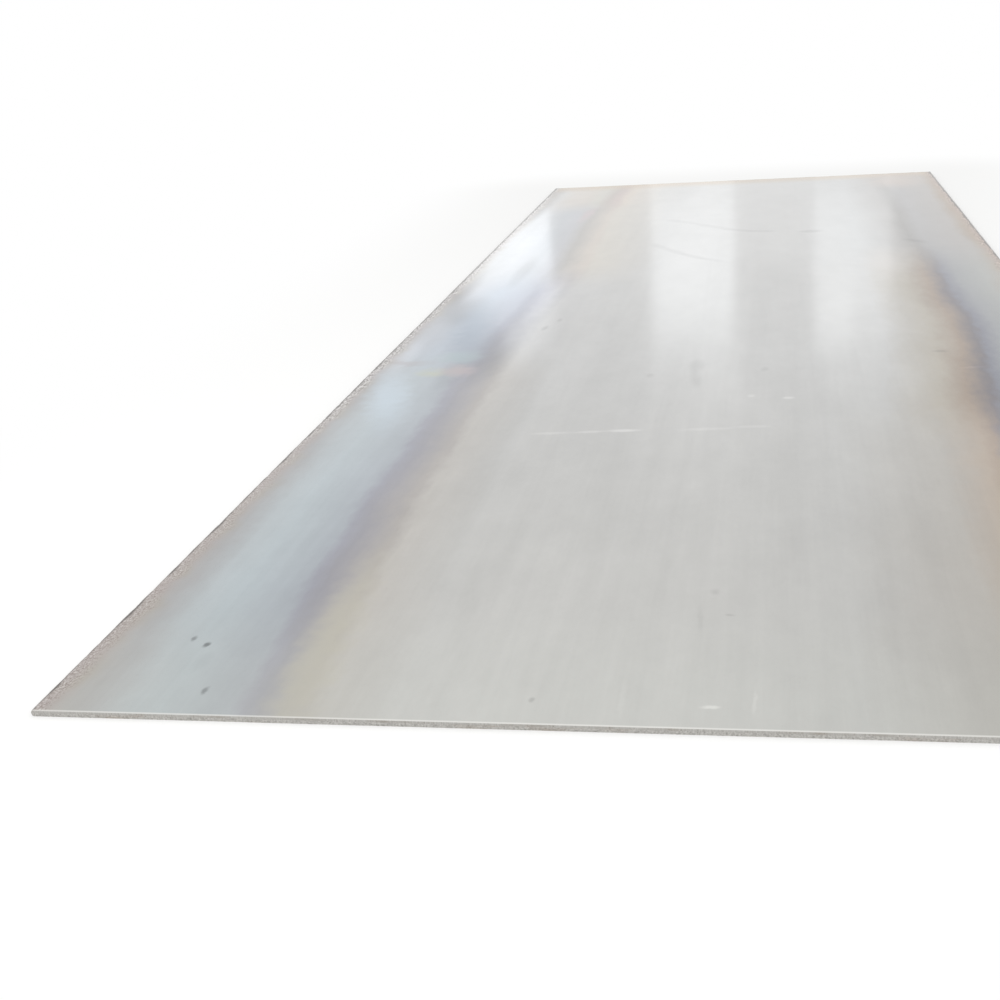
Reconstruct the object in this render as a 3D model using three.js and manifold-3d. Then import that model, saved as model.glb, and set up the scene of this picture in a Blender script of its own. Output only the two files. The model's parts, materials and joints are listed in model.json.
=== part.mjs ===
// Hot-rolled steel plate, cut to length from a coil: as-rolled mill edges along both sides, sheared ends.
//
// Millimetres, +Z up. The origin is on the underside, under the middle of the plate. +Y runs along the
// rolling direction. The plate is one solid: the rolled bar, trimmed by the profile that the shear leaves.

import * as THREE from "three";
import { mergeVertices } from "three/addons/utils/BufferGeometryUtils.js";
import Module from "manifold-3d";

// Overall size
const WIDTH = 2000; // over the mill edges, across the rolling direction
const LENGTH = 6000; // over the sheared ends, along the rolling direction
const THICKNESS = 12;

// Mill edge: the free edge that the rolls leave, a blunt nose that is steepest at mid-thickness
const NOSE_REACH = 5; // how far the nose runs in from the edge before the faces are flat
const NOSE_BLUNTNESS = 2.6; // exponent of the superellipse: 2 is an ellipse, more is squarer
const NOSE_FACETS = 16; // an even number, so that a corner lies on the tip

// Sheared end, in the order the blade makes it
const ROLLOVER_REACH = 3.2; // how far in the blade drags the face down
const ROLLOVER_DROP = 1.5; // how far it drags the arris down
const ROLLOVER_FACETS = 6;
const LAND_HEIGHT = 3.6; // burnished band where the blade cuts, square to the faces
const BREAK_LEAN = 0.9; // how far the fracture below it falls back, from the blade clearance
const BREAK_STEP = 0.25; // the tear's first step in from the land
const BURR_HEIGHT = 0.3; // torn lip standing on the face where the fracture comes out
const BURR_WIDTH = 0.4; // thickness of that lip at its root

const CLEAR = 20; // how far the cutting shapes run past the steel

const steel = new THREE.MeshStandardMaterial({ color: 0xb4b5b2, roughness: 0.48, metalness: 0.85 });

// Point on one quarter of the nose: 0 at the flat face, 1 at the tip. Returns how far the steel reaches out
// past the flat part, and its height above mid-thickness.
function nosePoint(share) {
  const angle = (share * Math.PI) / 2;
  const power = 2 / NOSE_BLUNTNESS;
  return {
    out: NOSE_REACH * Math.sin(angle) ** power,
    up: (THICKNESS / 2) * Math.cos(angle) ** power,
  };
}

// Half of the rolled section, from the top face round the nose to the underside, as points (x, z)
function millEdge() {
  const flat = WIDTH / 2 - NOSE_REACH;
  return Array.from({ length: NOSE_FACETS + 1 }, (_, i) => {
    const turn = (2 * i) / NOSE_FACETS;
    const { out, up } = nosePoint(Math.min(turn, 2 - turn));
    return new THREE.Vector2(flat + out, THICKNESS / 2 + (turn < 1 ? up : -up));
  });
}

// Section across the rolling direction, in (x, z)
function rolledSection() {
  const right = millEdge();
  const left = right.map((p) => new THREE.Vector2(-p.x, p.y)).reverse();
  return new THREE.Shape([...right, ...left]);
}

// What the shear takes off the front end, in (y, z): the blade meets the top face and comes down
function shearedOff() {
  const land = -LENGTH / 2;
  const landFoot = THICKNESS - ROLLOVER_DROP - LAND_HEIGHT;
  const rollover = Array.from({ length: ROLLOVER_FACETS + 1 }, (_, i) => {
    const angle = (i / ROLLOVER_FACETS) * (Math.PI / 2);
    const inwards = ROLLOVER_REACH * (1 - Math.sin(angle));
    const down = ROLLOVER_DROP * (1 - Math.cos(angle));
    return new THREE.Vector2(land + inwards, THICKNESS - down);
  });
  return new THREE.Shape([
    new THREE.Vector2(land + ROLLOVER_REACH, THICKNESS + CLEAR),
    ...rollover,
    new THREE.Vector2(land, landFoot),
    new THREE.Vector2(land + BREAK_STEP, landFoot - BREAK_STEP),
    new THREE.Vector2(land + BREAK_LEAN, 0),
    new THREE.Vector2(land + BREAK_LEAN, -CLEAR),
    new THREE.Vector2(land - CLEAR, -CLEAR),
    new THREE.Vector2(land - CLEAR, THICKNESS + CLEAR),
  ]);
}

// The burr where that fracture comes out of the underside, in (y, z), with a root inside the steel
function burrSection() {
  const tip = -LENGTH / 2 + BREAK_LEAN;
  return new THREE.Shape([
    new THREE.Vector2(tip, -BURR_HEIGHT),
    new THREE.Vector2(tip + BURR_WIDTH, 0),
    new THREE.Vector2(tip + BURR_WIDTH, BURR_WIDTH),
    new THREE.Vector2(tip, BURR_WIDTH),
  ]);
}

// A section in (x, z), extruded along the rolling direction
function alongPlate(shape, length) {
  const geometry = new THREE.ExtrudeGeometry(shape, { depth: length, bevelEnabled: false });
  return geometry.translate(0, 0, -length / 2).rotateX(Math.PI / 2);
}

// A section in (y, z), extruded across the plate
function acrossPlate(shape, width) {
  const geometry = new THREE.ExtrudeGeometry(shape, { depth: width, bevelEnabled: false });
  return geometry.translate(0, 0, -width / 2).rotateX(Math.PI / 2).rotateZ(Math.PI / 2);
}

// The same shape at the rear end. There the plate is the piece that the blade pushes off, so its end is
// the front one turned over.
function atRearEnd(geometry) {
  return geometry.clone().rotateX(Math.PI).translate(0, 0, THICKNESS);
}

const wasm = await Module();
wasm.setup();

function toSolid(geometry) {
  const bare = geometry.clone();
  bare.deleteAttribute("normal");
  bare.deleteAttribute("uv");
  const merged = mergeVertices(bare);
  return new wasm.Manifold(
    new wasm.Mesh({
      numProp: 3,
      vertProperties: new Float32Array(merged.attributes.position.array),
      triVerts: new Uint32Array(merged.index.array),
    }),
  );
}

function toGeometry(solid) {
  const mesh = solid.getMesh();
  const geometry = new THREE.BufferGeometry();
  geometry.setAttribute("position", new THREE.BufferAttribute(mesh.vertProperties, 3));
  geometry.setIndex(new THREE.BufferAttribute(mesh.triVerts, 1));
  geometry.computeVertexNormals();
  return geometry;
}

// The rear burr stands on the top face. The front one is under the plate, whose weight presses it flat.
function steelPlate() {
  const rolled = alongPlate(rolledSection(), LENGTH + CLEAR);
  const waste = acrossPlate(shearedOff(), WIDTH + CLEAR);
  const burr = acrossPlate(burrSection(), WIDTH - 2 * NOSE_REACH);
  const solid = toSolid(rolled)
    .subtract(toSolid(waste))
    .subtract(toSolid(atRearEnd(waste)))
    .add(toSolid(atRearEnd(burr)));
  const plate = new THREE.Mesh(toGeometry(solid), steel);
  plate.name = "steel_plate";
  return plate;
}

const part = new THREE.Group();
part.add(steelPlate());

export default part;
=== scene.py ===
import json
import math

import bpy
import numpy as np
from mathutils import Matrix, Vector


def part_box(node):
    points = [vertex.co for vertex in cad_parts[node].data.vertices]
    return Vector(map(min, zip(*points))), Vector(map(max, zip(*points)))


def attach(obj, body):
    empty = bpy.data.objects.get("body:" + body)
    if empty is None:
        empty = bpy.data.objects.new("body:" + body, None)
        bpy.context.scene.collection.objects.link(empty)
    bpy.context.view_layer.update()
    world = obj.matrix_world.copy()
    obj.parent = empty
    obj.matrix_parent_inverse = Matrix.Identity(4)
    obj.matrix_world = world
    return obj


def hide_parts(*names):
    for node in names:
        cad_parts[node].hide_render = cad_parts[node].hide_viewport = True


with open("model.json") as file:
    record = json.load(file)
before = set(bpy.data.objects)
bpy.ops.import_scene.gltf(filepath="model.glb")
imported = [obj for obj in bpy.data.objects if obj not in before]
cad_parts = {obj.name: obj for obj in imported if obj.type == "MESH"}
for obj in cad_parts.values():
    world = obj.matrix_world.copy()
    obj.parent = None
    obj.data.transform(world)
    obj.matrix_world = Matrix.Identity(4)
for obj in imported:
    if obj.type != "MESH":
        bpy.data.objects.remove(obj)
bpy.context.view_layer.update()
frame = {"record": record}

# ---------------------------------------------------------------------------------------------------------
# The plate's body. One piece of hot-rolled low-carbon steel: rolled between flat rolls with both long edges
# left free, coiled, flattened, and cut to length by a shear. The mesh is swept across the width, station by
# station; each station is a loop along the length through both sheared ends.

MM = 0.001  # in metres, the unit of the whole scene
mounts = {mount["name"]: mount for mount in frame["record"]["mounts"]}
THICKNESS = mounts["top_face"]["pos_m"][2] - mounts["underside"]["pos_m"][2]
HALF_WIDTH, HALF_LENGTH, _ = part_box("steel_plate")[1]

NOSE_REACH = 5 * MM  # the rounded mill edge
NOSE_BLUNTNESS = 2.6  # exponent of the superellipse
NOSE_STATIONS = 11
NOSE_TIP = 0.02  # least cosine, which leaves the very edge 0.6 mm high
MARGIN_STATIONS = np.array([6.0, 7.5, 10.0, 14.0, 19.0]) * MM  # from the edge inwards, still finely divided
STATION_PITCH = 6 * MM  # from there on across the plate
EDGE_PITCH = 8 * MM  # along the mill edges
FACE_PITCH = 60 * MM  # along the rest of the top face
BELOW_PITCH = 250 * MM  # along the underside
CLOSE_TO_END = np.array([1.0, 3.0, 7.0, 15.0, 30.0, 60.0]) * MM  # extra places inside each end
SHARP_ANGLE = 32  # degrees; a sharper fold is shaded as an edge

ROLLOVER_REACH = 3.2 * MM  # the face that the blade drags down
ROLLOVER_DROP = 1.5 * MM
ROLLOVER_STEPS = 6
LAND_HEIGHT = 3.6 * MM  # the burnished band that it cuts
BREAK_LEAN = 0.9 * MM  # the fracture under it
BREAK_STEP = 0.25 * MM
BREAK_ROWS = 4
BURR_HEIGHT = 0.3 * MM  # the torn lip
BURR_WIDTH = 0.4 * MM
BURR_CLEARANCE = 0.3 * MM  # from its root to the last point of the face

WANDER_REACH = 60 * MM  # how far in from the free edge its wander dies out
CRACKS = 46  # along each free edge
CRACK_DEPTH = (0.4, 1.5)  # millimetres
CRACK_REACH = (5, 14)  # millimetres to either side
WAVES_LOWER = 0.12  # millimetres that the waves lie under the full height
WAVES_END = 120 * MM  # over which they die out towards a sheared end
EDGE_THINNING = 0.12  # millimetres
EDGE_THINNING_REACH = 30 * MM

random = np.random.default_rng(7)


def wander(places, pitch, height):
    """A smooth random line: its bumps are about one pitch apart and at most height to either side."""
    knots = np.arange(places.min() - 2 * pitch, places.max() + 3 * pitch, pitch)
    heights = random.uniform(-height, height, len(knots))
    t = (places - knots[0]) / pitch
    low = np.clip(t.astype(int), 0, len(knots) - 2)
    ease = (t - low) ** 2 * (3 - 2 * (t - low))
    return heights[low] * (1 - ease) + heights[low + 1] * ease


def graded(end, pitch, close):
    """Places from -end to end, pitch apart, with extra ones at the given distances inside each end."""
    inner = end - close[-1]
    middle = np.linspace(-inner, inner, max(2, round(2 * inner / pitch)))
    return np.concatenate([-end + close[:-1], middle, (end - close[:-1])[::-1]])


def sheared_profile():
    """Rows of one sheared end, from the struck face down: how far in from the land and below the face."""
    turn = np.linspace(0, math.pi / 2, ROLLOVER_STEPS + 1)
    rows = [(ROLLOVER_REACH * (1 - math.sin(a)), ROLLOVER_DROP * (1 - math.cos(a))) for a in turn]
    foot = ROLLOVER_DROP + LAND_HEIGHT
    rows += [(0, ROLLOVER_DROP + LAND_HEIGHT / 2), (0, foot)]
    for share in np.linspace(0, 1, BREAK_ROWS + 1):
        lean = BREAK_STEP + (BREAK_LEAN - BREAK_STEP) * share
        rows.append((lean, foot + BREAK_STEP + (THICKNESS - foot - BREAK_STEP) * share))
    return np.array(rows)


# Stations across the plate, as x, with the share of the full thickness there
nose_turn = np.linspace(0, math.pi / 2, NOSE_STATIONS)
nose_out = NOSE_REACH * np.sin(nose_turn) ** (2 / NOSE_BLUNTNESS)
nose_share = np.clip(np.cos(nose_turn), NOSE_TIP, 1) ** (2 / NOSE_BLUNTNESS)
edge_inward = np.concatenate([(NOSE_REACH - nose_out)[::-1], MARGIN_STATIONS])
edge_share = np.concatenate([nose_share[::-1], np.ones(len(MARGIN_STATIONS))])
face_end = HALF_WIDTH - MARGIN_STATIONS[-1] - STATION_PITCH
face_x = np.linspace(-face_end, face_end, round(2 * face_end / STATION_PITCH) + 1)
left_x = -HALF_WIDTH + edge_inward
right_x = (HALF_WIDTH - edge_inward)[::-1]
all_x = np.concatenate([left_x, face_x, right_x])
all_share = np.concatenate([edge_share, np.ones(len(face_x)), edge_share[::-1]])
is_fine = np.concatenate([np.ones(len(left_x)), np.zeros(len(face_x)), np.ones(len(right_x))]).astype(bool)

# Places along the plate for the top face and the underside, between the two sheared ends
top_end = HALF_LENGTH - ROLLOVER_REACH
fine_y = graded(top_end, EDGE_PITCH, CLOSE_TO_END[:4])
coarse_y = graded(top_end, FACE_PITCH, CLOSE_TO_END)
below_y = graded(HALF_LENGTH - 2 * BREAK_LEAN, BELOW_PITCH, CLOSE_TO_END[2:])[::-1]

profile = sheared_profile()
PROFILE_ROWS = len(profile)

# How the free edges wander in and out along the length, and small cracks in them
mill_edge = {}
for side in (-1, 1):
    edge = wander(fine_y, 700 * MM, 0.8 * MM) + wander(fine_y, 120 * MM, 0.35 * MM)
    edge += wander(fine_y, 34 * MM, 0.3 * MM) + wander(fine_y, 16 * MM, 0.25 * MM)
    for _ in range(CRACKS):
        crack = random.uniform(-HALF_LENGTH, HALF_LENGTH)
        depth, reach = random.uniform(*CRACK_DEPTH) * MM, random.uniform(*CRACK_REACH) * MM
        edge -= depth * np.exp(-(((fine_y - crack) / reach) ** 2))
    mill_edge[side] = edge - edge.max()

# How far each station is torn back at the two ends, and how high the burr stands there
ragged_ends = (
    np.abs(wander(all_x, 9 * MM, 0.16 * MM)) + np.abs(wander(all_x, 40 * MM, 0.12 * MM)),  # front fracture
    np.abs(wander(all_x, 160 * MM, 0.10 * MM) + wander(all_x, 12 * MM, 0.05 * MM)),  # front land
    np.abs(wander(all_x, 9 * MM, 0.16 * MM)) + np.abs(wander(all_x, 40 * MM, 0.12 * MM)),  # rear fracture
    np.abs(wander(all_x, 160 * MM, 0.10 * MM) + wander(all_x, 12 * MM, 0.05 * MM)),  # rear land
    BURR_HEIGHT * np.clip(0.5 + wander(all_x, 25 * MM, 0.5) + wander(all_x, 6.5 * MM, 0.3), 0, 1),
)
ragged_ends = np.stack(ragged_ends, 1)


def lay_of(x, y):
    """How far the top face lies off flat: shallow waves left by levelling, thinner towards the free edges.
    The waves' heights are in millimetres and their lengths in metres."""
    waves = 0.10 * np.sin(2 * math.pi * (y / 1.9 + 0.13 * x)) * np.cos(math.pi * x * 0.8)
    waves += 0.06 * np.sin(2 * math.pi * (y / 0.83 - 0.31 * x) + 1.1)
    waves += 0.04 * np.sin(2 * math.pi * (y / 0.47 + 0.9 * x) + 2.3)
    at_ends = np.clip((HALF_LENGTH - np.abs(y)) / WAVES_END, 0, 1)
    thinning = EDGE_THINNING * np.exp(-(HALF_WIDTH - np.abs(x)) / EDGE_THINNING_REACH)
    return ((waves - WAVES_LOWER) * at_ends - thinning) * MM


def station(x, share, top_y, edge_line, ragged):
    """One loop: front end from the underside up, top face, rear end from the top down, underside."""
    front_break, front_land, rear_break, rear_land, burr_height = ragged
    front_in, front_down = profile[::-1, 0].copy(), profile[::-1, 1]
    rear_in, rear_up = profile[:, 0].copy(), profile[:, 1]
    broken = np.zeros(PROFILE_ROWS)
    broken[-BREAK_ROWS:] = 1
    front_in += broken[::-1] * front_break + front_land
    rear_in += broken * rear_break + rear_land
    front = np.stack([-HALF_LENGTH + np.clip(front_in, 0, None), THICKNESS - front_down], 1)
    rear = np.stack([HALF_LENGTH - np.clip(rear_in, 0, None), rear_up], 1)[::-1]
    burr = np.array([rear[0, 0], THICKNESS + burr_height])
    burr_root = np.array([burr[0] - BURR_WIDTH, THICKNESS])
    top = np.stack([top_y, THICKNESS + lay_of(x, top_y)], 1)
    top = top[top[:, 0] < burr_root[0] - BURR_CLEARANCE]
    below = np.stack([below_y, np.zeros(len(below_y))], 1)
    loop = np.concatenate([front, top, [burr_root, burr], rear[1:], below])
    z = THICKNESS / 2 + (loop[:, 1] - THICKNESS / 2) * share
    outward = np.interp(loop[:, 0], fine_y, edge_line) if edge_line is not None else 0
    xs = np.full(len(loop), x) + outward * math.copysign(1, x)
    return np.stack([xs, loop[:, 0], z], 1), len(top)


def zip_rows(a, b, along_a, along_b):
    """Triangles between two rows of points that run the same way but have different spacing."""
    faces, i, j = [], 0, 0
    while i < len(a) - 1 or j < len(b) - 1:
        if j == len(b) - 1 or (i < len(a) - 1 and along_a[i + 1] <= along_b[j + 1]):
            faces.append((a[i], a[i + 1], b[j]))
            i += 1
        else:
            faces.append((a[i], b[j + 1], b[j]))
            j += 1
    return faces


# Which surface lies between two rows of a sheared end
SCALE, LAND, FRACTURE = range(3)
row_zone = [SCALE] * ROLLOVER_STEPS + [LAND] * 2 + [FRACTURE] * (BREAK_ROWS + 1)

points, loops, zones, tops = [], [], [], []
point_count = 0
for x, share, fine, ragged in zip(all_x, all_share, is_fine, ragged_ends):
    from_edge = HALF_WIDTH - abs(x)
    edge_line = None
    if from_edge < WANDER_REACH:
        edge_line = mill_edge[-1 if x < 0 else 1] * np.interp(from_edge, [0, WANDER_REACH], [1, 0])
    loop, top_count = station(x, share, fine_y if fine else coarse_y, edge_line, ragged)
    zone = row_zone[::-1] + [SCALE] * (top_count + 1) + [FRACTURE] + row_zone[::-1]
    zones.append(zone + [SCALE] * (len(loop) - len(zone)))
    loops.append(np.arange(len(loop)) + point_count)
    tops.append(top_count)
    points.append(loop)
    point_count += len(loop)
points = np.concatenate(points)

# Faces between neighbouring stations, and the two long strips that close the mill edges
faces, face_zone = [], []
for i in range(len(all_x) - 1):
    a, b, zone = loops[i], loops[i + 1], zones[i]
    first, last_a, last_b = PROFILE_ROWS - 1, PROFILE_ROWS + tops[i], PROFILE_ROWS + tops[i + 1]
    if tops[i] == tops[i + 1]:
        faces += [(a[j], b[j], b[(j + 1) % len(b)], a[(j + 1) % len(a)]) for j in range(len(a))]
        face_zone += zone
        continue
    top_a, top_b = a[first : last_a + 1], b[first : last_b + 1]
    strip = [(q, p, r) for p, q, r in zip_rows(top_a, top_b, points[top_a, 1], points[top_b, 1])]
    rest_a = np.concatenate([a[last_a:], a[: first + 1]])
    rest_b = np.concatenate([b[last_b:], b[: first + 1]])
    faces += strip + [(rest_a[j], rest_b[j], rest_b[j + 1], rest_a[j + 1]) for j in range(len(rest_a) - 1)]
    face_zone += [SCALE] * len(strip) + zone[last_a:] + zone[:first]
for i, flip in ((0, False), (len(all_x) - 1, True)):
    loop, rows = loops[i], PROFILE_ROWS // 2
    upper = loop[rows : PROFILE_ROWS + tops[i] + 1 + rows]
    lower = np.concatenate([loop[PROFILE_ROWS + tops[i] + rows :], loop[: rows + 1]])[::-1]
    strip = [f for f in zip_rows(upper, lower, points[upper, 1], points[lower, 1]) if len(set(f)) == 3]
    faces += [f[::-1] for f in strip] if flip else strip
    face_zone += [SCALE] * len(strip)

mesh = bpy.data.meshes.new("steel_plate_body")
mesh.from_pydata(points.tolist(), [], [[int(k) for k in f] for f in faces])
mesh.update()
mesh.polygons.foreach_set("material_index", face_zone)
mesh.polygons.foreach_set("use_smooth", [True] * len(mesh.polygons))
mesh.set_sharp_from_angle(angle=math.radians(SHARP_ANGLE))
plate = bpy.data.objects.new("steel_plate_body", mesh)
bpy.context.scene.collection.objects.link(plate)


def linear(hex_colour):
    """An sRGB hex colour as linear red, green, blue and alpha."""
    parts = [int(hex_colour[i : i + 2], 16) / 255 for i in (1, 3, 5)]
    return [c / 12.92 if c <= 0.04045 else ((c + 0.055) / 1.055) ** 2.4 for c in parts] + [1.0]


def empty_tree(owner):
    """The node tree of a new material or world, with nothing in it."""
    owner.use_nodes = True
    owner.node_tree.nodes.clear()
    return owner.node_tree


def add(tree, kind, sockets=None, stops=(), **settings):
    """Adds a node with its settings. A socket gets a value, a link, or a node, whose first shown output is
    linked, and a ramp gets its colour stops. Sockets go by name or number: in a Mix, 0 is the share, 2 and 3
    are the numbers and 6 and 7 the colours; a Map Range takes 0 from between 1 and 2 to between 3 and 4."""
    made = tree.nodes.new(kind)
    for name, value in settings.items():
        setattr(made, name, value)
    for name, value in (sockets or {}).items():
        if isinstance(value, bpy.types.Node):
            value = next(output for output in value.outputs if output.enabled)
        if isinstance(value, bpy.types.NodeSocket):
            tree.links.new(value, made.inputs[name])
        else:
            made.inputs[name].default_value = value
    for number, (place, colour) in enumerate(stops):
        elements = made.color_ramp.elements
        stop = elements[number] if number < len(elements) else elements.new(place)
        stop.position, stop.color = place, linear(colour)
    return made


# Mill scale: the iron oxide skin, about 10 micrometres thick, that hot rolling leaves on the faces and free
# edges. The eye sees a grey satin metal with faint streaks along the rolling direction. Towards the free
# edges the film changes thickness and shows temper colours: straw, brown, purple, blue, pale blue.
# All places are in metres from the plate's middle, and a pattern's scale counts its features in a metre.
mill_scale = bpy.data.materials.new("mill_scale_on_hot_rolled_steel")
tree = empty_tree(mill_scale)
place = add(tree, "ShaderNodeTexCoord").outputs["Object"]
across, along, _ = add(tree, "ShaderNodeSeparateXYZ", {0: place}).outputs

# The film's place is the distance in from the nearer free edge, shifted so that the film's dark line lies at
# 320 mm. The line itself wanders, as (share of the length from the front end, distance in from the edge).
# It ripples by about 10 mm in waves of 140 by 300 mm, and is frayed by a few millimetres in finer ones.
FILM_REACH = 0.8
DARK_LINE = 0.32
MIDDLE = 0.1  # half the width over which the left side's film passes into the right side's
LEFT_LINE = ((0.0, 0.378), (0.08, 0.338), (0.17, 0.320), (0.25, 0.312), (0.35, 0.312),
             (0.45, 0.326), (0.6, 0.368), (0.7, 0.352), (0.8, 0.335), (1.0, 0.345))
RIGHT_LINE = ((0.0, 0.330), (0.2, 0.306), (0.28, 0.284), (0.36, 0.252), (0.42, 0.234),
              (0.52, 0.250), (0.6, 0.237), (0.7, 0.251), (0.8, 0.250), (1.0, 0.252))
RIPPLES = (((7.0, 3.3, 0.0), 2.0, 0.05), ((40.0, 16.0, 0.0), 3.0, 0.03))  # scale, detail, swing
sideways = add(tree, "ShaderNodeMath", {0: across}, operation="ABSOLUTE")
inward = add(tree, "ShaderNodeMath", {0: HALF_WIDTH, 1: sideways}, operation="SUBTRACT")
run = add(tree, "ShaderNodeMapRange", {0: along, 1: -HALF_LENGTH, 2: HALF_LENGTH})
lines = []
for bends in (LEFT_LINE, RIGHT_LINE):
    line = add(tree, "ShaderNodeFloatCurve", {"Value": run})
    curve = line.mapping.curves[0]
    curve.points[0].location, curve.points[1].location = bends[0], bends[-1]
    for share, distance in bends[1:-1]:
        curve.points.new(share, distance)
    line.mapping.update()
    lines.append(line)
to_right = add(tree, "ShaderNodeMapRange", {0: across, 1: -MIDDLE, 2: MIDDLE},
               interpolation_type="SMOOTHSTEP")
line = add(tree, "ShaderNodeMix", {0: to_right, 2: lines[0], 3: lines[1]}, data_type="FLOAT")
line = add(tree, "ShaderNodeMath", {0: DARK_LINE, 1: line}, operation="SUBTRACT")
film = add(tree, "ShaderNodeMath", {0: inward, 1: line}, operation="ADD")
for scale, detail, swing in RIPPLES:
    spread = add(tree, "ShaderNodeMapping", {"Vector": place, "Scale": scale})
    wave = add(tree, "ShaderNodeTexNoise", {"Vector": spread, "Scale": 1.0, "Detail": detail})
    wave = add(tree, "ShaderNodeMath", {0: wave, 1: 0.5}, operation="SUBTRACT")
    film = add(tree, "ShaderNodeMath", {0: wave, 1: swing, 2: film}, operation="MULTIPLY_ADD")
film = add(tree, "ShaderNodeMath", {0: film, 1: FILM_REACH}, operation="DIVIDE", use_clamp=True)

# Film colours against that place, as a share of its reach, for stretches along each side. A stretch takes
# over from the one before it between two places along the plate. The plain scale starts at about 0.6.
PLAIN_SCALE = "#bcbcbb"
PALE_SCALE = "#c2c2c1"
LEFT_STRETCHES = (
    (None, None, (  # at the front end
        (0.00, "#a8a5a3"), (0.06, "#a8a9ab"), (0.13, "#b2babf"), (0.20, "#b2bcc2"), (0.35, "#a5acb4"),
        (0.38, "#999ba6"), (0.41, "#96969e"), (0.50, "#aaa6a3"), (0.54, "#b9b6b2"), (0.70, PLAIN_SCALE))),
    # In this stretch the darker blue-grey next to the dark line is partly the film's blue and partly a
    # painted darker reflection, where the edge waves.
    (-1.05, -0.55, (  # up to the middle
        (0.00, "#b0b0b2"), (0.09, "#b5bac2"), (0.20, "#aeb8c4"), (0.34, "#a3a9b6"), (0.38, "#9599a7"),
        (0.41, "#9597a2"), (0.54, "#bebebe"), (0.72, PLAIN_SCALE))),
    (0.15, 0.75, (  # behind the middle
        (0.00, "#babcbe"), (0.12, "#bfc2c6"), (0.24, "#b0b5bb"), (0.32, "#b2b4ba"), (0.40, "#a8a5a1"),
        (0.50, "#c5bcb2"), (0.54, "#c7c2b8"), (0.85, PLAIN_SCALE), (1.00, PALE_SCALE))),
    (2.0, 2.5, (  # at the rear end
        (0.00, "#9e9c9a"), (0.09, "#c2c1c0"), (0.17, "#cac3bb"), (0.28, "#c4bdb4"), (0.36, "#c0beb4"),
        (0.44, "#ada29b"), (0.49, "#b7a6a0"), (0.54, "#ccc0b3"), (0.58, "#ccc4ba"), (0.75, "#bab9b6"),
        (0.90, "#b9b9b8"), (1.00, PALE_SCALE))),
)
RIGHT_STRETCHES = (
    (None, None, (  # at the front end
        (0.00, "#a0968c"), (0.10, "#a39c92"), (0.18, "#9e9e9a"), (0.37, "#8c8d96"), (0.40, "#8f878a"),
        (0.43, "#a89889"), (0.46, "#b2a597"), (0.58, "#b0ada8"), (0.85, PLAIN_SCALE))),
    (-1.75, -1.2, (  # up to the middle
        (0.00, "#968778"), (0.10, "#a69c8e"), (0.21, "#9ea09d"), (0.32, "#8b8e92"), (0.375, "#6e717f"),
        (0.40, "#615b62"), (0.46, "#958371"), (0.54, "#aca598"), (0.72, PLAIN_SCALE))),
    (0.2, 1.0, (  # behind the middle
        (0.00, "#8a6c50"), (0.12, "#967f64"), (0.19, "#a29d99"), (0.36, "#9e9d9e"), (0.43, "#8f8d8b"),
        (0.50, "#a4a2a0"), (0.68, "#b8b9b9"), (1.00, PALE_SCALE))),
)
sides = []
for stretches in (LEFT_STRETCHES, RIGHT_STRETCHES):
    for start, end, stops in stretches:
        stretch = add(tree, "ShaderNodeValToRGB", {0: film}, stops=stops)
        if start is None:
            side = stretch
            continue
        onward = add(tree, "ShaderNodeMapRange", {0: along, 1: start, 2: end},
                     interpolation_type="SMOOTHSTEP")
        side = add(tree, "ShaderNodeMix", {0: onward, 6: side, 7: stretch}, data_type="RGBA")
    sides.append(side)
colour = add(tree, "ShaderNodeMix", {0: to_right, 6: sides[0], 7: sides[1]}, data_type="RGBA")

# At the front end the film's colours are paler for half a metre, and the face is a little warmer for two
# metres. At the rear end the last 200 mm turn straw-coloured.
PALER_END = -HALF_LENGTH + 0.55
WARM_START, WARM_END = -2.9, -0.8
WARM_TINT = (0.0, -0.010, -0.035)  # change of red, green and blue
STRAW_START, STRAW_END = HALF_LENGTH - 0.22, HALF_LENGTH - 0.03
paler = add(tree, "ShaderNodeMapRange", {0: along, 1: -HALF_LENGTH, 2: PALER_END, 3: 0.35, 4: 0.0},
            interpolation_type="SMOOTHSTEP")
colour = add(tree, "ShaderNodeMix", {0: paler, 6: colour, 7: linear("#c4c7c4")}, data_type="RGBA")
warm = add(tree, "ShaderNodeMapRange", {0: along, 1: WARM_START, 2: WARM_END, 3: 1.0, 4: 0.0})
warm = add(tree, "ShaderNodeVectorMath", {0: WARM_TINT, 1: warm, 2: (1, 1, 1)}, operation="MULTIPLY_ADD")
colour = add(tree, "ShaderNodeVectorMath", {0: colour, 1: warm}, operation="MULTIPLY")
straw = add(tree, "ShaderNodeMapRange", {0: along, 1: STRAW_START, 2: STRAW_END, 4: 0.65},
            interpolation_type="SMOOTHSTEP")
colour = add(tree, "ShaderNodeMix", {0: straw, 6: colour, 7: linear("#c0a988")}, data_type="RGBA")

# Streaks along the rolling direction, 2 to 60 mm wide and the widest 2 m long, and soft clouds of 140 by
# 290 mm and finer. Both swing the brightness, and half of the swing is taken off so that the mean stays.
STREAK_SWING = 0.18
CLOUD_SWING = 0.22
rolling = add(tree, "ShaderNodeMapping", {"Vector": place, "Scale": (16.0, 0.5, 16.0)})
streaks = add(tree, "ShaderNodeTexNoise", {
    "Vector": rolling, "Scale": 1.0, "Detail": 5.0, "Roughness": 0.65,
})
clouding = add(tree, "ShaderNodeMapping", {"Vector": place, "Scale": (7.0, 3.5, 7.0)})
clouds = add(tree, "ShaderNodeTexNoise", {
    "Vector": clouding, "Scale": 1.0, "Detail": 7.0, "Roughness": 0.68,
})
level = add(tree, "ShaderNodeMath", {0: streaks, 1: STREAK_SWING, 2: 1.0 - (STREAK_SWING + CLOUD_SWING) / 2},
            operation="MULTIPLY_ADD")
level = add(tree, "ShaderNodeMath", {0: clouds, 1: CLOUD_SWING, 2: level}, operation="MULTIPLY_ADD")


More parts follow.
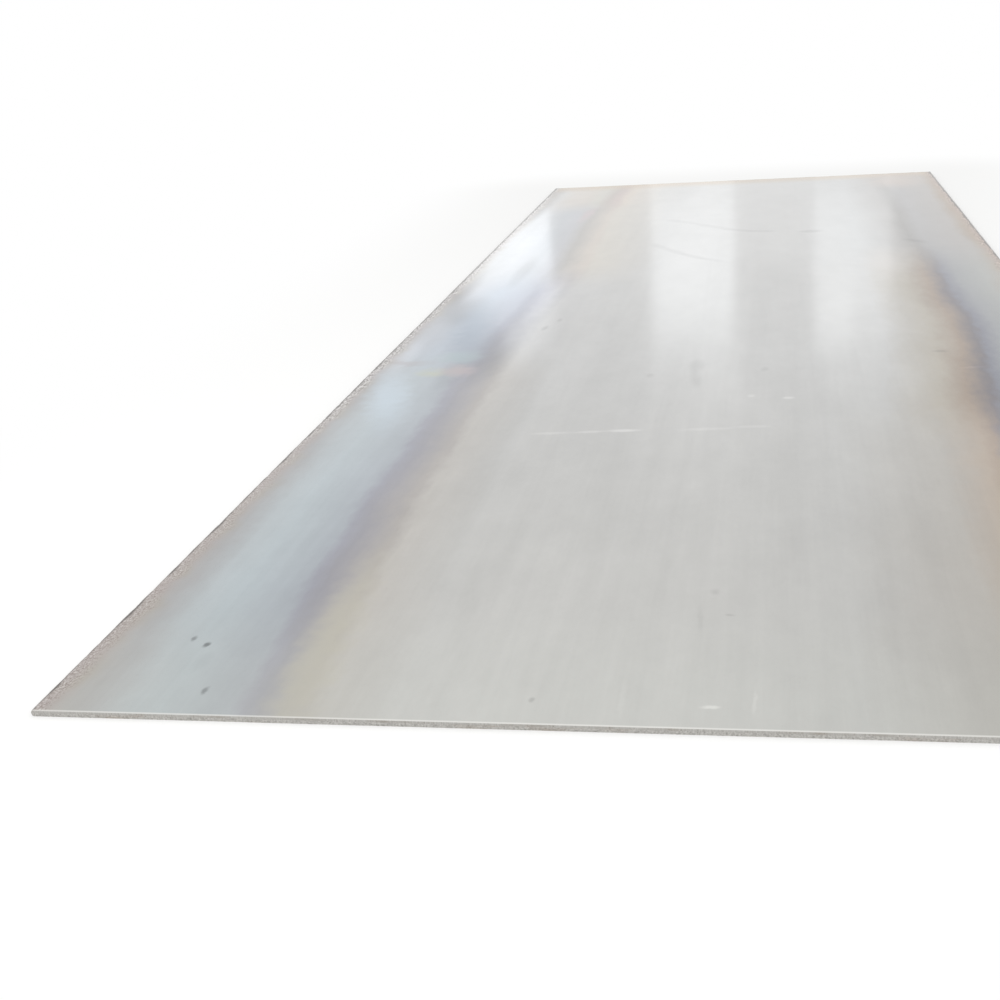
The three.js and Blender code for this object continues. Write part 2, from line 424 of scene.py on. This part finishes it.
def frayed(scale, detail, reach):
    """The place on the plate, shifted by noise, so that what is drawn from it has a ragged outline."""
    noise = add(tree, "ShaderNodeTexNoise", {"Vector": place, "Scale": scale, "Detail": detail})
    noise = add(tree, "ShaderNodeVectorMath", {0: noise.outputs["Color"], 1: (0.5, 0.5, 0.5)},
                operation="SUBTRACT")
    return add(tree, "ShaderNodeVectorMath", {0: noise, 1: reach, 2: place}, operation="MULTIPLY_ADD")


def soft_oval(ragged_place, centre, turn, size, outline, core, strength):
    """An oval on the top face: 0 from its outline out, and full strength from its core in, both as shares of
    its size. It is 10 mm deep, so the underside stays clear of it."""
    spot = add(tree, "ShaderNodeMapping", {
        "Vector": ragged_place,
        "Location": (*centre, THICKNESS),
        "Rotation": (0.0, 0.0, turn),
        "Scale": (*size, 10 * MM),
    }, vector_type="TEXTURE")
    reach = add(tree, "ShaderNodeVectorMath", {0: spot}, operation="LENGTH")
    return add(tree, "ShaderNodeMapRange", {0: reach, 1: outline, 2: core, 4: strength},
               interpolation_type="SMOOTHSTEP")


# Marks from handling, on the top face: place across and along, turn, half length and width, change of tone.
# Their outlines are ragged by a few millimetres.
MARK_OUTLINE, MARK_CORE = 1.0, 0.2
marks = (
    (-0.360, -1.534, 0.07, 0.070, 0.016, 0.13),  # drag scratches, where the scale is rubbed thin
    (-0.265, -1.526, 0.10, 0.055, 0.015, 0.17),
    (-0.182, -1.519, 0.05, 0.056, 0.018, 0.27),
    (0.019, -1.515, 0.07, 0.085, 0.018, 0.10),
    (0.132, -1.499, 0.05, 0.060, 0.016, 0.09),
    (0.125, -1.226, -0.06, 0.016, 0.020, 0.12),
    (0.221, -1.250, -0.06, 0.022, 0.018, 0.20),
    (0.718, -0.980, 0.18, 0.050, 0.018, 0.26),
    (0.088, -2.934, 0.05, 0.021, 0.008, 0.26),
    (-0.049, -2.910, 1.60, 0.090, 0.007, 0.04),
    (0.153, -2.917, 1.53, 0.055, 0.005, 0.08),
    (0.646, -0.798, -0.09, 0.028, 0.020, -0.20),  # dark scuffs
    (-0.028, -1.045, 1.66, 0.125, 0.022, -0.11),
    (-0.032, -0.905, 0.00, 0.030, 0.110, -0.12),
    (0.159, -0.955, -0.08, 0.016, 0.034, -0.10),
    (-0.158, -1.000, 0.00, 0.016, 0.030, -0.10),
    (-0.549, -0.382, -0.11, 0.014, 0.050, -0.16),
    (-0.515, -0.270, 0.00, 0.012, 0.040, -0.14),
    (-0.190, -2.925, 0.00, 0.008, 0.012, -0.22),
    (0.079, -2.502, 0.00, 0.013, 0.020, -0.10),
    (0.107, -2.600, 0.03, 0.012, 0.008, -0.12),
    (0.057, -2.614, 1.62, 0.080, 0.007, -0.06),
    (-0.365, -2.547, 1.66, 0.200, 0.030, -0.04),
    (-0.280, 1.054, -1.07, 0.135, 0.034, -0.10),  # curved drag marks near the rear
    (-0.203, 0.913, -1.03, 0.140, 0.034, -0.12),
    (-0.128, 0.799, -0.92, 0.120, 0.034, -0.12),
    (-0.052, 0.711, -0.82, 0.110, 0.034, -0.08),
    (-0.216, 1.667, -0.80, 0.190, 0.040, -0.08),
    (-0.081, 1.511, -0.83, 0.180, 0.040, -0.10),
    (0.031, 1.391, -0.62, 0.130, 0.040, -0.11),
    (0.138, 1.340, -0.28, 0.110, 0.035, -0.09),
    (0.340, 1.290, -0.10, 0.070, 0.050, -0.16),
    (0.733, 0.978, -0.95, 0.100, 0.035, -0.16),
    # The pits are not modelled as hollows; their darker tone is painted shade in them.
    (-0.826, -2.728, -1.51, 0.017, 0.007, -0.42),  # pits left by scale that has flaked off
    (-0.794, -2.751, 1.51, 0.015, 0.009, -0.58),
    (-0.731, -2.920, -1.52, 0.019, 0.008, -0.40),
    (-0.776, -2.815, 1.57, 0.050, 0.020, -0.05),
    (-0.784, 0.600, 1.57, 0.420, 0.045, -0.20),  # dull and bright bands where the film steps
    (-0.690, -0.700, 1.66, 0.480, 0.090, -0.26),
    (-0.620, -0.760, 1.57, 0.300, 0.055, -0.17),
    (-0.742, -0.940, 1.57, 0.280, 0.055, -0.17),
    (-0.880, -0.080, 1.65, 0.360, 0.110, -0.26),
    (-0.960, 0.300, 1.57, 0.420, 0.070, -0.30),
    (-0.622, 0.200, 1.57, 0.640, 0.065, 0.28),
    (-0.053, 0.500, 1.587, 1.300, 0.011, -0.022),  # a dull line from the rolls, and its soft border
    (-0.020, 0.500, 1.587, 1.600, 0.042, -0.028),
    (-0.150, -3.000, 0.00, 0.600, 1.400, 0.10),  # broad pale and dull bands
    (0.020, -1.300, 0.00, 0.230, 1.200, 0.06),
    (0.100, 2.400, 0.00, 0.900, 1.000, -0.028),
    (-0.500, -1.000, 0.00, 0.110, 1.500, -0.06),
    (-0.300, -1.000, 0.00, 0.060, 1.300, -0.04),
    (-0.940, -0.720, 1.60, 0.300, 0.060, 0.20),
    # This last band darkens the left edge towards the rear: painted shade along the rounded edge, like the
    # dark rim below.
    (-0.985, 2.150, 1.57, 0.520, 0.080, -0.50),
)
marked_place = frayed(60.0, 2.0, (8 * MM, 8 * MM, 0.0))
for x, y, turn, half_length, half_width, change in marks:
    size = (half_length, half_width)
    tone = soft_oval(marked_place, (x, y), turn, size, MARK_OUTLINE, MARK_CORE, change)
    level = add(tree, "ShaderNodeMath", {0: level, 1: tone}, operation="ADD")
colour = add(tree, "ShaderNodeVectorMath", {0: colour, "Scale": level}, operation="SCALE")

# Patches where the film is of another thickness: place, turn, half length and width, colour, strength.
# Their outlines are ragged by a few centimetres.
PATCH_OUTLINE, PATCH_CORE = 1.2, 0.1
patches = (
    (-0.800, -0.925, -0.10, 0.060, 0.055, "#bdbe9f", 0.50),
    (-0.728, -0.900, 0.07, 0.060, 0.090, "#b8a7a6", 0.65),
    (-0.760, -0.740, 0.10, 0.085, 0.090, "#a3b9b8", 0.55),
    (-0.920, -0.800, -0.15, 0.110, 0.045, "#a9a2a5", 0.45),
    # This patch, a darker blue-grey band beside the white glare, is partly the film's blue and partly a
    # painted darker reflection, where the edge waves.
    (-0.785, -0.420, 1.68, 0.500, 0.085, "#8797a9", 0.60),
    (-0.876, -1.170, 1.80, 0.370, 0.075, "#c3d2de", 0.70),
    (-0.578, -2.750, 1.61, 0.520, 0.055, "#bfbbab", 0.60),
    (-0.695, 2.000, 1.52, 0.260, 0.035, "#beaeb2", 0.70),
    (0.600, 0.560, 1.57, 0.360, 0.100, "#c6c1bd", 0.50),
    (0.800, 2.720, 1.57, 0.300, 0.170, "#c0b0a4", 0.65),
)
patched_place = frayed(22.0, 3.0, (60 * MM, 100 * MM, 0.0))
for x, y, turn, half_length, half_width, tint, strength in patches:
    size = (half_length, half_width)
    share = soft_oval(patched_place, (x, y), turn, size, PATCH_OUTLINE, PATCH_CORE, strength)
    colour = add(tree, "ShaderNodeMix", {0: share, 6: colour, 7: linear(tint)}, data_type="RGBA")

# Along the free edges the scale is cracked and flaking. First a rusty tint, which sets in about 60 mm from
# the edge, and from place to place, over some 100 mm, farther in or out and browner or greyer.
blotches = add(tree, "ShaderNodeTexNoise", {"Vector": place, "Scale": 9.0, "Detail": 3.0})
rusty = add(tree, "ShaderNodeMath", {0: blotches, 1: -60 * MM, 2: inward}, operation="MULTIPLY_ADD")
rusty = add(tree, "ShaderNodeMapRange", {0: rusty, 1: 35 * MM, 2: -30 * MM, 4: 0.55},
            interpolation_type="SMOOTHSTEP")
rust = add(tree, "ShaderNodeValToRGB", {0: blotches}, stops=[(0.42, "#ac968f"), (0.58, "#a79a84")])
colour = add(tree, "ShaderNodeMix", {0: rusty, 6: colour, 7: rust}, data_type="RGBA")

# Then a border of loose scale, 10 to 45 mm wide. At the front it is broken into brown specks of 4 to 8 mm.
# Farther back it lies in flakes of 6 to 20 mm, grey ones on the left side and brown ones on the right.
FLAKES_START, FLAKES_FULL = -2.0, -1.0
speckling = add(tree, "ShaderNodeMapping", {"Vector": place, "Scale": (260.0, 130.0, 260.0)})
specks = add(tree, "ShaderNodeTexNoise", {
    "Vector": speckling, "Scale": 1.0, "Detail": 2.0, "Roughness": 0.9,
})
flaking = add(tree, "ShaderNodeMapping", {"Vector": place, "Scale": (180.0, 55.0, 180.0)})
flakes = add(tree, "ShaderNodeTexNoise", {
    "Vector": flaking, "Scale": 1.0, "Detail": 2.0, "Roughness": 0.8,
})
border = add(tree, "ShaderNodeMath", {0: specks, 1: 30 * MM, 2: inward}, operation="MULTIPLY_ADD")
border = add(tree, "ShaderNodeMath", {0: blotches, 1: -50 * MM, 2: border}, operation="MULTIPLY_ADD")
border = add(tree, "ShaderNodeMapRange", {0: border, 1: 32 * MM, 2: 1 * MM, 4: 0.80},
             interpolation_type="SMOOTHSTEP")
browned = add(tree, "ShaderNodeValToRGB", {0: specks}, stops=[
    (0.38, "#8a7d77"), (0.46, "#a79f9b"), (0.53, "#b4adab"), (0.58, "#bfb9b6"), (0.63, "#ded8d4"),
])
greyed = add(tree, "ShaderNodeValToRGB", {0: flakes}, stops=[
    (0.38, "#625e5c"), (0.45, "#979492"), (0.50, "#bab7b5"), (0.55, "#d2d0ce"), (0.62, "#ebe9e8"),
])
tanned = add(tree, "ShaderNodeValToRGB", {0: flakes}, stops=[
    (0.38, "#5a4d45"), (0.45, "#8a786d"), (0.50, "#aa9588"), (0.55, "#bfab9f"), (0.62, "#d5c5ba"),
])
flaked = add(tree, "ShaderNodeMix", {0: to_right, 6: greyed, 7: tanned}, data_type="RGBA")
onward = add(tree, "ShaderNodeMapRange", {0: along, 1: FLAKES_START, 2: FLAKES_FULL},
             interpolation_type="SMOOTHSTEP")
loose = add(tree, "ShaderNodeMix", {0: onward, 6: browned, 7: flaked}, data_type="RGBA")
colour = add(tree, "ShaderNodeMix", {0: border, 6: colour, 7: loose}, data_type="RGBA")

# The rounded edge itself is painted dark, as painted shade where the nose turns away from the light. This
# painted rim is about 6 mm wide at the front and gets wider towards the rear, by 1.2 mm in a metre.
painted_edge_shade = add(tree, "ShaderNodeMath", {0: blotches, 1: -20 * MM, 2: inward}, operation="MULTIPLY_ADD")
painted_edge_shade = add(tree, "ShaderNodeMath", {0: along, 1: -1.2 * MM, 2: painted_edge_shade}, operation="MULTIPLY_ADD")
painted_edge_shade = add(tree, "ShaderNodeMapRange", {0: painted_edge_shade, 1: 2 * MM, 2: -3 * MM, 4: 0.8},
          interpolation_type="SMOOTHSTEP")
colour = add(tree, "ShaderNodeMix", {0: painted_edge_shade, 6: colour, 7: linear("#4c4542")}, data_type="RGBA")

# Where the blade has dragged the front end's face down, the scale has come off and bare steel shows. Its
# near-white colour is also a painted highlight, standing in for the glint along the curved rollover.
BAREST = 0.4  # share of the rollover, from the end in, over which it is at its brightest
bare_steel_and_glint = add(tree, "ShaderNodeMapRange", {
    0: along, 1: -HALF_LENGTH + ROLLOVER_REACH, 2: -HALF_LENGTH + BAREST * ROLLOVER_REACH, 4: 0.60,
})
colour = add(tree, "ShaderNodeMix", {0: bare_steel_and_glint, 6: colour, 7: linear("#f1f0ec")}, data_type="RGBA")

# The rolls leave it smooth enough for soft reflections. Where the scale is loose it is a little rougher.
rough = add(tree, "ShaderNodeMapRange", {0: streaks, 1: 0.3, 2: 0.7, 3: 0.13, 4: 0.17})
rough = add(tree, "ShaderNodeMath", {0: border, 1: 0.08, 2: rough}, operation="MULTIPLY_ADD")
shader = add(tree, "ShaderNodeBsdfPrincipled", {"Base Color": colour, "Metallic": 1.0, "Roughness": rough})
add(tree, "ShaderNodeOutputMaterial", {"Surface": shader})
mesh.materials.append(mill_scale)

# Burnished land: bare steel that the blade has cut and rubbed smooth. The eye sees an even grey band scored
# down the thickness, stained here and there. The real score lines are about 0.3 mm apart; they are drawn
# 3 mm apart so that they show.
burnished = bpy.data.materials.new("shear_burnished_steel")
tree = empty_tree(burnished)
place = add(tree, "ShaderNodeTexCoord").outputs["Object"]
scoring = add(tree, "ShaderNodeMapping", {"Vector": place, "Scale": (330.0, 12.0, 12.0)})
scores = add(tree, "ShaderNodeTexNoise", {"Vector": scoring, "Scale": 1.0, "Detail": 3.0})
colour = add(tree, "ShaderNodeValToRGB", {0: scores}, stops=[
    (0.30, "#a3a19c"), (0.50, "#b4b2ae"), (0.70, "#c2c1bd"),
])
worn = add(tree, "ShaderNodeTexNoise", {"Vector": place, "Scale": 14.0, "Detail": 4.0, "Roughness": 0.6})
stained = add(tree, "ShaderNodeMapRange", {0: worn, 1: 0.50, 2: 0.72, 4: 0.7})
colour = add(tree, "ShaderNodeMix", {0: stained, 6: colour, 7: linear("#978e84")}, data_type="RGBA")
rough = add(tree, "ShaderNodeMapRange", {0: scores, 1: 0.3, 2: 0.7, 3: 0.24, 4: 0.36})
relief = add(tree, "ShaderNodeBump", {"Height": scores, "Strength": 0.4, "Distance": 0.3 * MM})
shader = add(tree, "ShaderNodeBsdfPrincipled", {
    "Base Color": colour, "Metallic": 1.0, "Roughness": rough, "Normal": relief,
})
add(tree, "ShaderNodeOutputMaterial", {"Surface": shader})
mesh.materials.append(burnished)

# Fracture: bare steel torn apart below the land. The eye sees a matt grey, a little lighter than the land,
# with a little rust where it has stood in the damp. Its grain of about 1 mm is drawn at 3 mm, to show.
torn_steel = bpy.data.materials.new("shear_fractured_steel")
tree = empty_tree(torn_steel)
place = add(tree, "ShaderNodeTexCoord").outputs["Object"]
grain = add(tree, "ShaderNodeTexNoise", {"Vector": place, "Scale": 330.0, "Detail": 3.0, "Roughness": 0.7})
colour = add(tree, "ShaderNodeValToRGB", {0: grain}, stops=[
    (0.32, "#9c9a96"), (0.50, "#bebcb8"), (0.68, "#d2d0cc"),
])
rusting = add(tree, "ShaderNodeMapping", {"Vector": place, "Scale": (9.0, 60.0, 60.0)})
rust = add(tree, "ShaderNodeTexNoise", {"Vector": rusting, "Scale": 1.0, "Detail": 5.0, "Roughness": 0.65})
stained = add(tree, "ShaderNodeMapRange", {0: rust, 1: 0.52, 2: 0.78, 4: 0.6})
colour = add(tree, "ShaderNodeMix", {0: stained, 6: colour, 7: linear("#a08b79")}, data_type="RGBA")
relief = add(tree, "ShaderNodeBump", {"Height": grain, "Strength": 0.6, "Distance": 0.8 * MM})
shader = add(tree, "ShaderNodeBsdfPrincipled", {
    "Base Color": colour, "Metallic": 1.0, "Roughness": 0.45, "Normal": relief,
})
add(tree, "ShaderNodeOutputMaterial", {"Surface": shader})
mesh.materials.append(torn_steel)

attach(plate, "root")
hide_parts("steel_plate")


# ---------------------------------------------------------------------------------------------------------
# Floor: a plain pale studio floor, level, painted matt white. It takes the plate's shadow close by, and
# fades into the plain white surround farther out.

FLOOR_REACH = 60.0
FADE_START, FADE_END = 0.05, 0.9  # metres from the plate
LEAST_WHITE = 0.25  # share of the surround's white next to the plate

floor_mesh = bpy.data.meshes.new("floor")
corners = [(FLOOR_REACH * x, FLOOR_REACH * y, 0) for x, y in ((-1, -1), (1, -1), (1, 1), (-1, 1))]
floor_mesh.from_pydata(corners, [], [(0, 1, 2, 3)])
floor = bpy.data.objects.new("floor", floor_mesh)
bpy.context.scene.collection.objects.link(floor)


def seen_directly(tree):
    """1 for what the camera sees, straight or in metal or glass, and 0 for what only gives light."""
    path = add(tree, "ShaderNodeLightPath")
    seen = path.outputs["Is Camera Ray"]
    for ray in ("Is Glossy Ray", "Is Transmission Ray"):
        seen = add(tree, "ShaderNodeMath", {0: seen, 1: path.outputs[ray]}, operation="ADD", use_clamp=True)
    return seen


floor_paint = bpy.data.materials.new("matt_white_floor_paint")
tree = empty_tree(floor_paint)
matt = add(tree, "ShaderNodeBsdfDiffuse", {"Color": linear("#f9f9f8")})
white = add(tree, "ShaderNodeEmission", {"Color": linear("#ffffff"), "Strength": 1.0})
away = add(tree, "ShaderNodeTexCoord").outputs["Object"]
away = add(tree, "ShaderNodeVectorMath", {0: away}, operation="ABSOLUTE")
away = add(tree, "ShaderNodeVectorMath", {0: away, 1: (HALF_WIDTH, HALF_LENGTH, 0)}, operation="SUBTRACT")
away = add(tree, "ShaderNodeVectorMath", {0: away, 1: (0, 0, 0)}, operation="MAXIMUM")
away = add(tree, "ShaderNodeVectorMath", {0: away}, operation="LENGTH")
faded = add(tree, "ShaderNodeMapRange", {0: away, 1: FADE_START, 2: FADE_END, 3: LEAST_WHITE, 4: 1.0},
            interpolation_type="SMOOTHSTEP")
share = add(tree, "ShaderNodeMath", {0: seen_directly(tree), 1: faded}, operation="MULTIPLY")
both = add(tree, "ShaderNodeMixShader", {0: share, 1: matt, 2: white})
add(tree, "ShaderNodeOutputMaterial", {"Surface": both})
floor_mesh.materials.append(floor_paint)


# ---------------------------------------------------------------------------------------------------------
# Lights: an even white surround, one large soft key light, and tall soft boxes beyond the far end, which
# the plate reflects as two long pale streaks and a white glare at the far left.

SURROUND_LIGHT = 0.9  # what the white surround gives as light; seen directly, it is 1

scene = bpy.context.scene
world = bpy.data.worlds.new("white_surround")
scene.world = world
tree = empty_tree(world)
strength = add(tree, "ShaderNodeMapRange", {0: seen_directly(tree), 3: SURROUND_LIGHT, 4: 1.0})
ground = add(tree, "ShaderNodeBackground", {"Color": linear("#ffffff"), "Strength": strength})
add(tree, "ShaderNodeOutputWorld", {"Surface": ground})


def soft_box(name, centre, aim, width, height, brightness):
    """A soft box that faces aim, as bright as brightness times white paper in the same light."""
    lamp = bpy.data.lights.new(name, "AREA")
    lamp.shape = "RECTANGLE"
    lamp.size, lamp.size_y = width, height
    lamp.energy = brightness * math.pi * width * height
    holder = bpy.data.objects.new(name, lamp)
    scene.collection.objects.link(holder)
    holder.location = centre
    holder.rotation_euler = (Vector(aim) - Vector(centre)).to_track_quat("-Z", "Y").to_euler()
    holder.visible_camera = False
    return holder


key = soft_box("key", (-1.5, -5.5, 6.0), (0, -1, 0), 6.0, 3.0, 2.2)
key.visible_glossy = False  # so that it leaves no glaring patch on the plate, seen from above

# Boxes that overlap stand 0.1 m apart, because in one plane one of them would hide the other. They only show
# in reflections, and the plate mirrors the upper ones nearer to the camera.
for name, x, y, z, width, height, brightness in (
    ("streak_left", -0.58, 9.0, 1.58, 0.80, 1.51, 0.23),
    ("streak_left_high", -0.60, 8.9, 2.03, 0.81, 0.72, 0.19),
    ("streak_right", 0.93, 9.0, 1.72, 0.72, 1.50, 0.21),
    ("streak_right_high", 0.76, 8.9, 2.12, 0.36, 0.55, 0.17),
    ("glare_low", -2.45, 9.0, 1.40, 0.95, 0.74, 0.56),
    ("glare_high", -2.50, 8.9, 1.91, 0.60, 0.36, 0.20),
    ("glare_top", -2.22, 8.8, 2.14, 0.50, 0.44, 0.13),
):
    box = soft_box(name, (x, y, z), (x, 0, z), width, height, brightness)
    box.data.color = linear("#f6fafd")[:3]
    box.visible_diffuse = False


# ---------------------------------------------------------------------------------------------------------
# Camera: a plain one, without shift or depth of field. It is held a metre high and two metres in front of
# the plate, points down along it and a little to its left, and is tilted sideways by four degrees.

CAMERA_PLACE = Vector((0.182, -4.858, 1.050))
PITCH, YAW, ROLL = (math.radians(a) for a in (19.69, -11.64, -4.14))
FOCAL_LENGTH = 1.414  # in image widths
SENSOR_WIDTH = 36.0  # millimetres
FAR_CLIP = 500

camera_data = bpy.data.cameras.new("camera")
camera_data.sensor_width = SENSOR_WIDTH
camera_data.lens = FOCAL_LENGTH * SENSOR_WIDTH
camera_data.clip_end = FAR_CLIP
camera = bpy.data.objects.new("camera", camera_data)
scene.collection.objects.link(camera)
forward = Vector((math.sin(YAW) * math.cos(PITCH), math.cos(YAW) * math.cos(PITCH), -math.sin(PITCH)))
level = Vector((math.cos(YAW), -math.sin(YAW), 0))
upward = level.cross(forward)
right = math.cos(ROLL) * level + math.sin(ROLL) * upward
up = -math.sin(ROLL) * level + math.cos(ROLL) * upward
turn = Matrix((right, up, -forward)).transposed().to_4x4()
camera.matrix_world = Matrix.Translation(CAMERA_PLACE) @ turn
scene.camera = camera
scene.view_settings.view_transform = "Standard"
